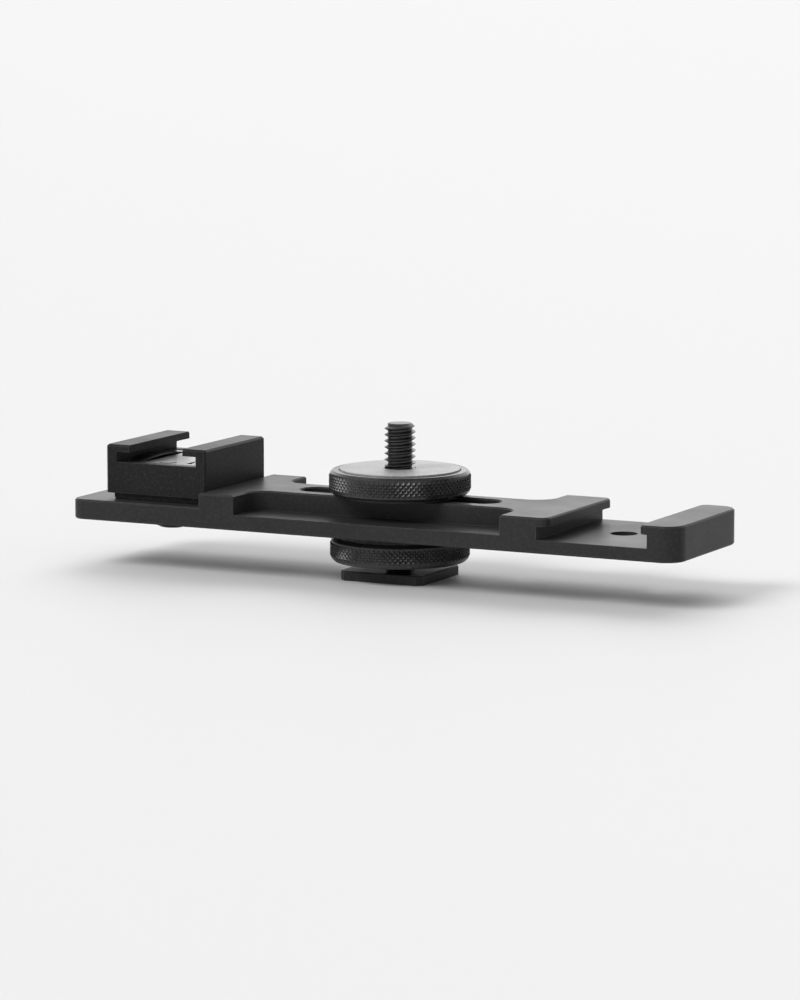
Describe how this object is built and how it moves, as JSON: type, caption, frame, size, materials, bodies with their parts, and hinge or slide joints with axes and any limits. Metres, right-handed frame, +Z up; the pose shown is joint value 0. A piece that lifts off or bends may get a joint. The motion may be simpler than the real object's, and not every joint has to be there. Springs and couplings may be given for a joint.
{
  "type": "shoe-mount flash bracket",
  "caption": "Black milled extension bar clamped between knurled nuts on a threaded stud with a shoe foot; a cold shoe on one end and an undercut channel on the other.",
  "frame": {"origin": "centre of the foot's underside, on the axis of the stud", "axes": "+X along the bar towards its end stop, +Y to the rear, +Z up along the stud"},
  "size_m": [0.1366, 0.032, 0.0317],
  "materials": {
    "black_aluminium": "fine bead-blasted, black anodised, satin",
    "black_block": "black anodised, satin",
    "knurled_black": "turned and knurled, black anodised",
    "black_steel": "black oxide",
    "spring_steel": "rolled stainless strip",
    "black_rubber": "matt moulded rubber",
    "black_nylon": "moulded nylon",
    "pale_pad": "pale grey cork rubber"
  },
  "bodies": {
    "foot_and_stud": {"foot_plate": "black_aluminium", "threaded_stud": "black_steel"},
    "washer": {"friction_washer": "black_rubber"},
    "lower_nut": {"lower_nut": "knurled_black"},
    "turning_washer": {"thrust_washer": "black_nylon"},
    "bar": {"slotted_bar": "black_aluminium", "grip_pad": "black_rubber", "shoe_block": "black_block", "shoe_leaf": "spring_steel", "leaf_rivets": "spring_steel", "shoe_screw": "black_steel"},
    "pad": {"accessory_pad": "pale_pad"},
    "upper_nut": {"upper_nut": "knurled_black"}
  },
  "joints": [
    {"name": "washer_lift", "type": "slide", "parent": "foot_and_stud", "child": "washer", "axis": [0, 0, 1], "range_m": [-0.00127, 0]},
    {"name": "lower_nut_turn", "type": "hinge", "parent": "washer", "child": "lower_nut", "pos_m": [0, 0, 0.0036], "axis": [0, 0, 1], "range_deg": [-360, 0]},
    {"name": "bar_swivel", "type": "hinge", "parent": "washer", "child": "turning_washer", "pos_m": [0, 0, 0.00964], "axis": [0, 0, 1], "continuous": true},
    {"name": "bar_slide", "type": "slide", "parent": "turning_washer", "child": "bar", "axis": [1, 0, 0], "range_m": [-0.019, 0.019]},
    {"name": "pad_lift", "type": "slide", "parent": "foot_and_stud", "child": "pad", "axis": [0, 0, 1], "range_m": [0, 0.00508]},
    {"name": "upper_nut_turn", "type": "hinge", "parent": "pad", "child": "upper_nut", "pos_m": [0, 0, 0.01738], "axis": [0, 0, 1], "range_deg": [0, 1440]}
  ],
  "couplings": [
    {"joint": "lower_nut_turn", "follows": "washer_lift", "rad_per_m": 4947.4},
    {"joint": "upper_nut_turn", "follows": "pad_lift", "rad_per_m": 4947.4}
  ]
}
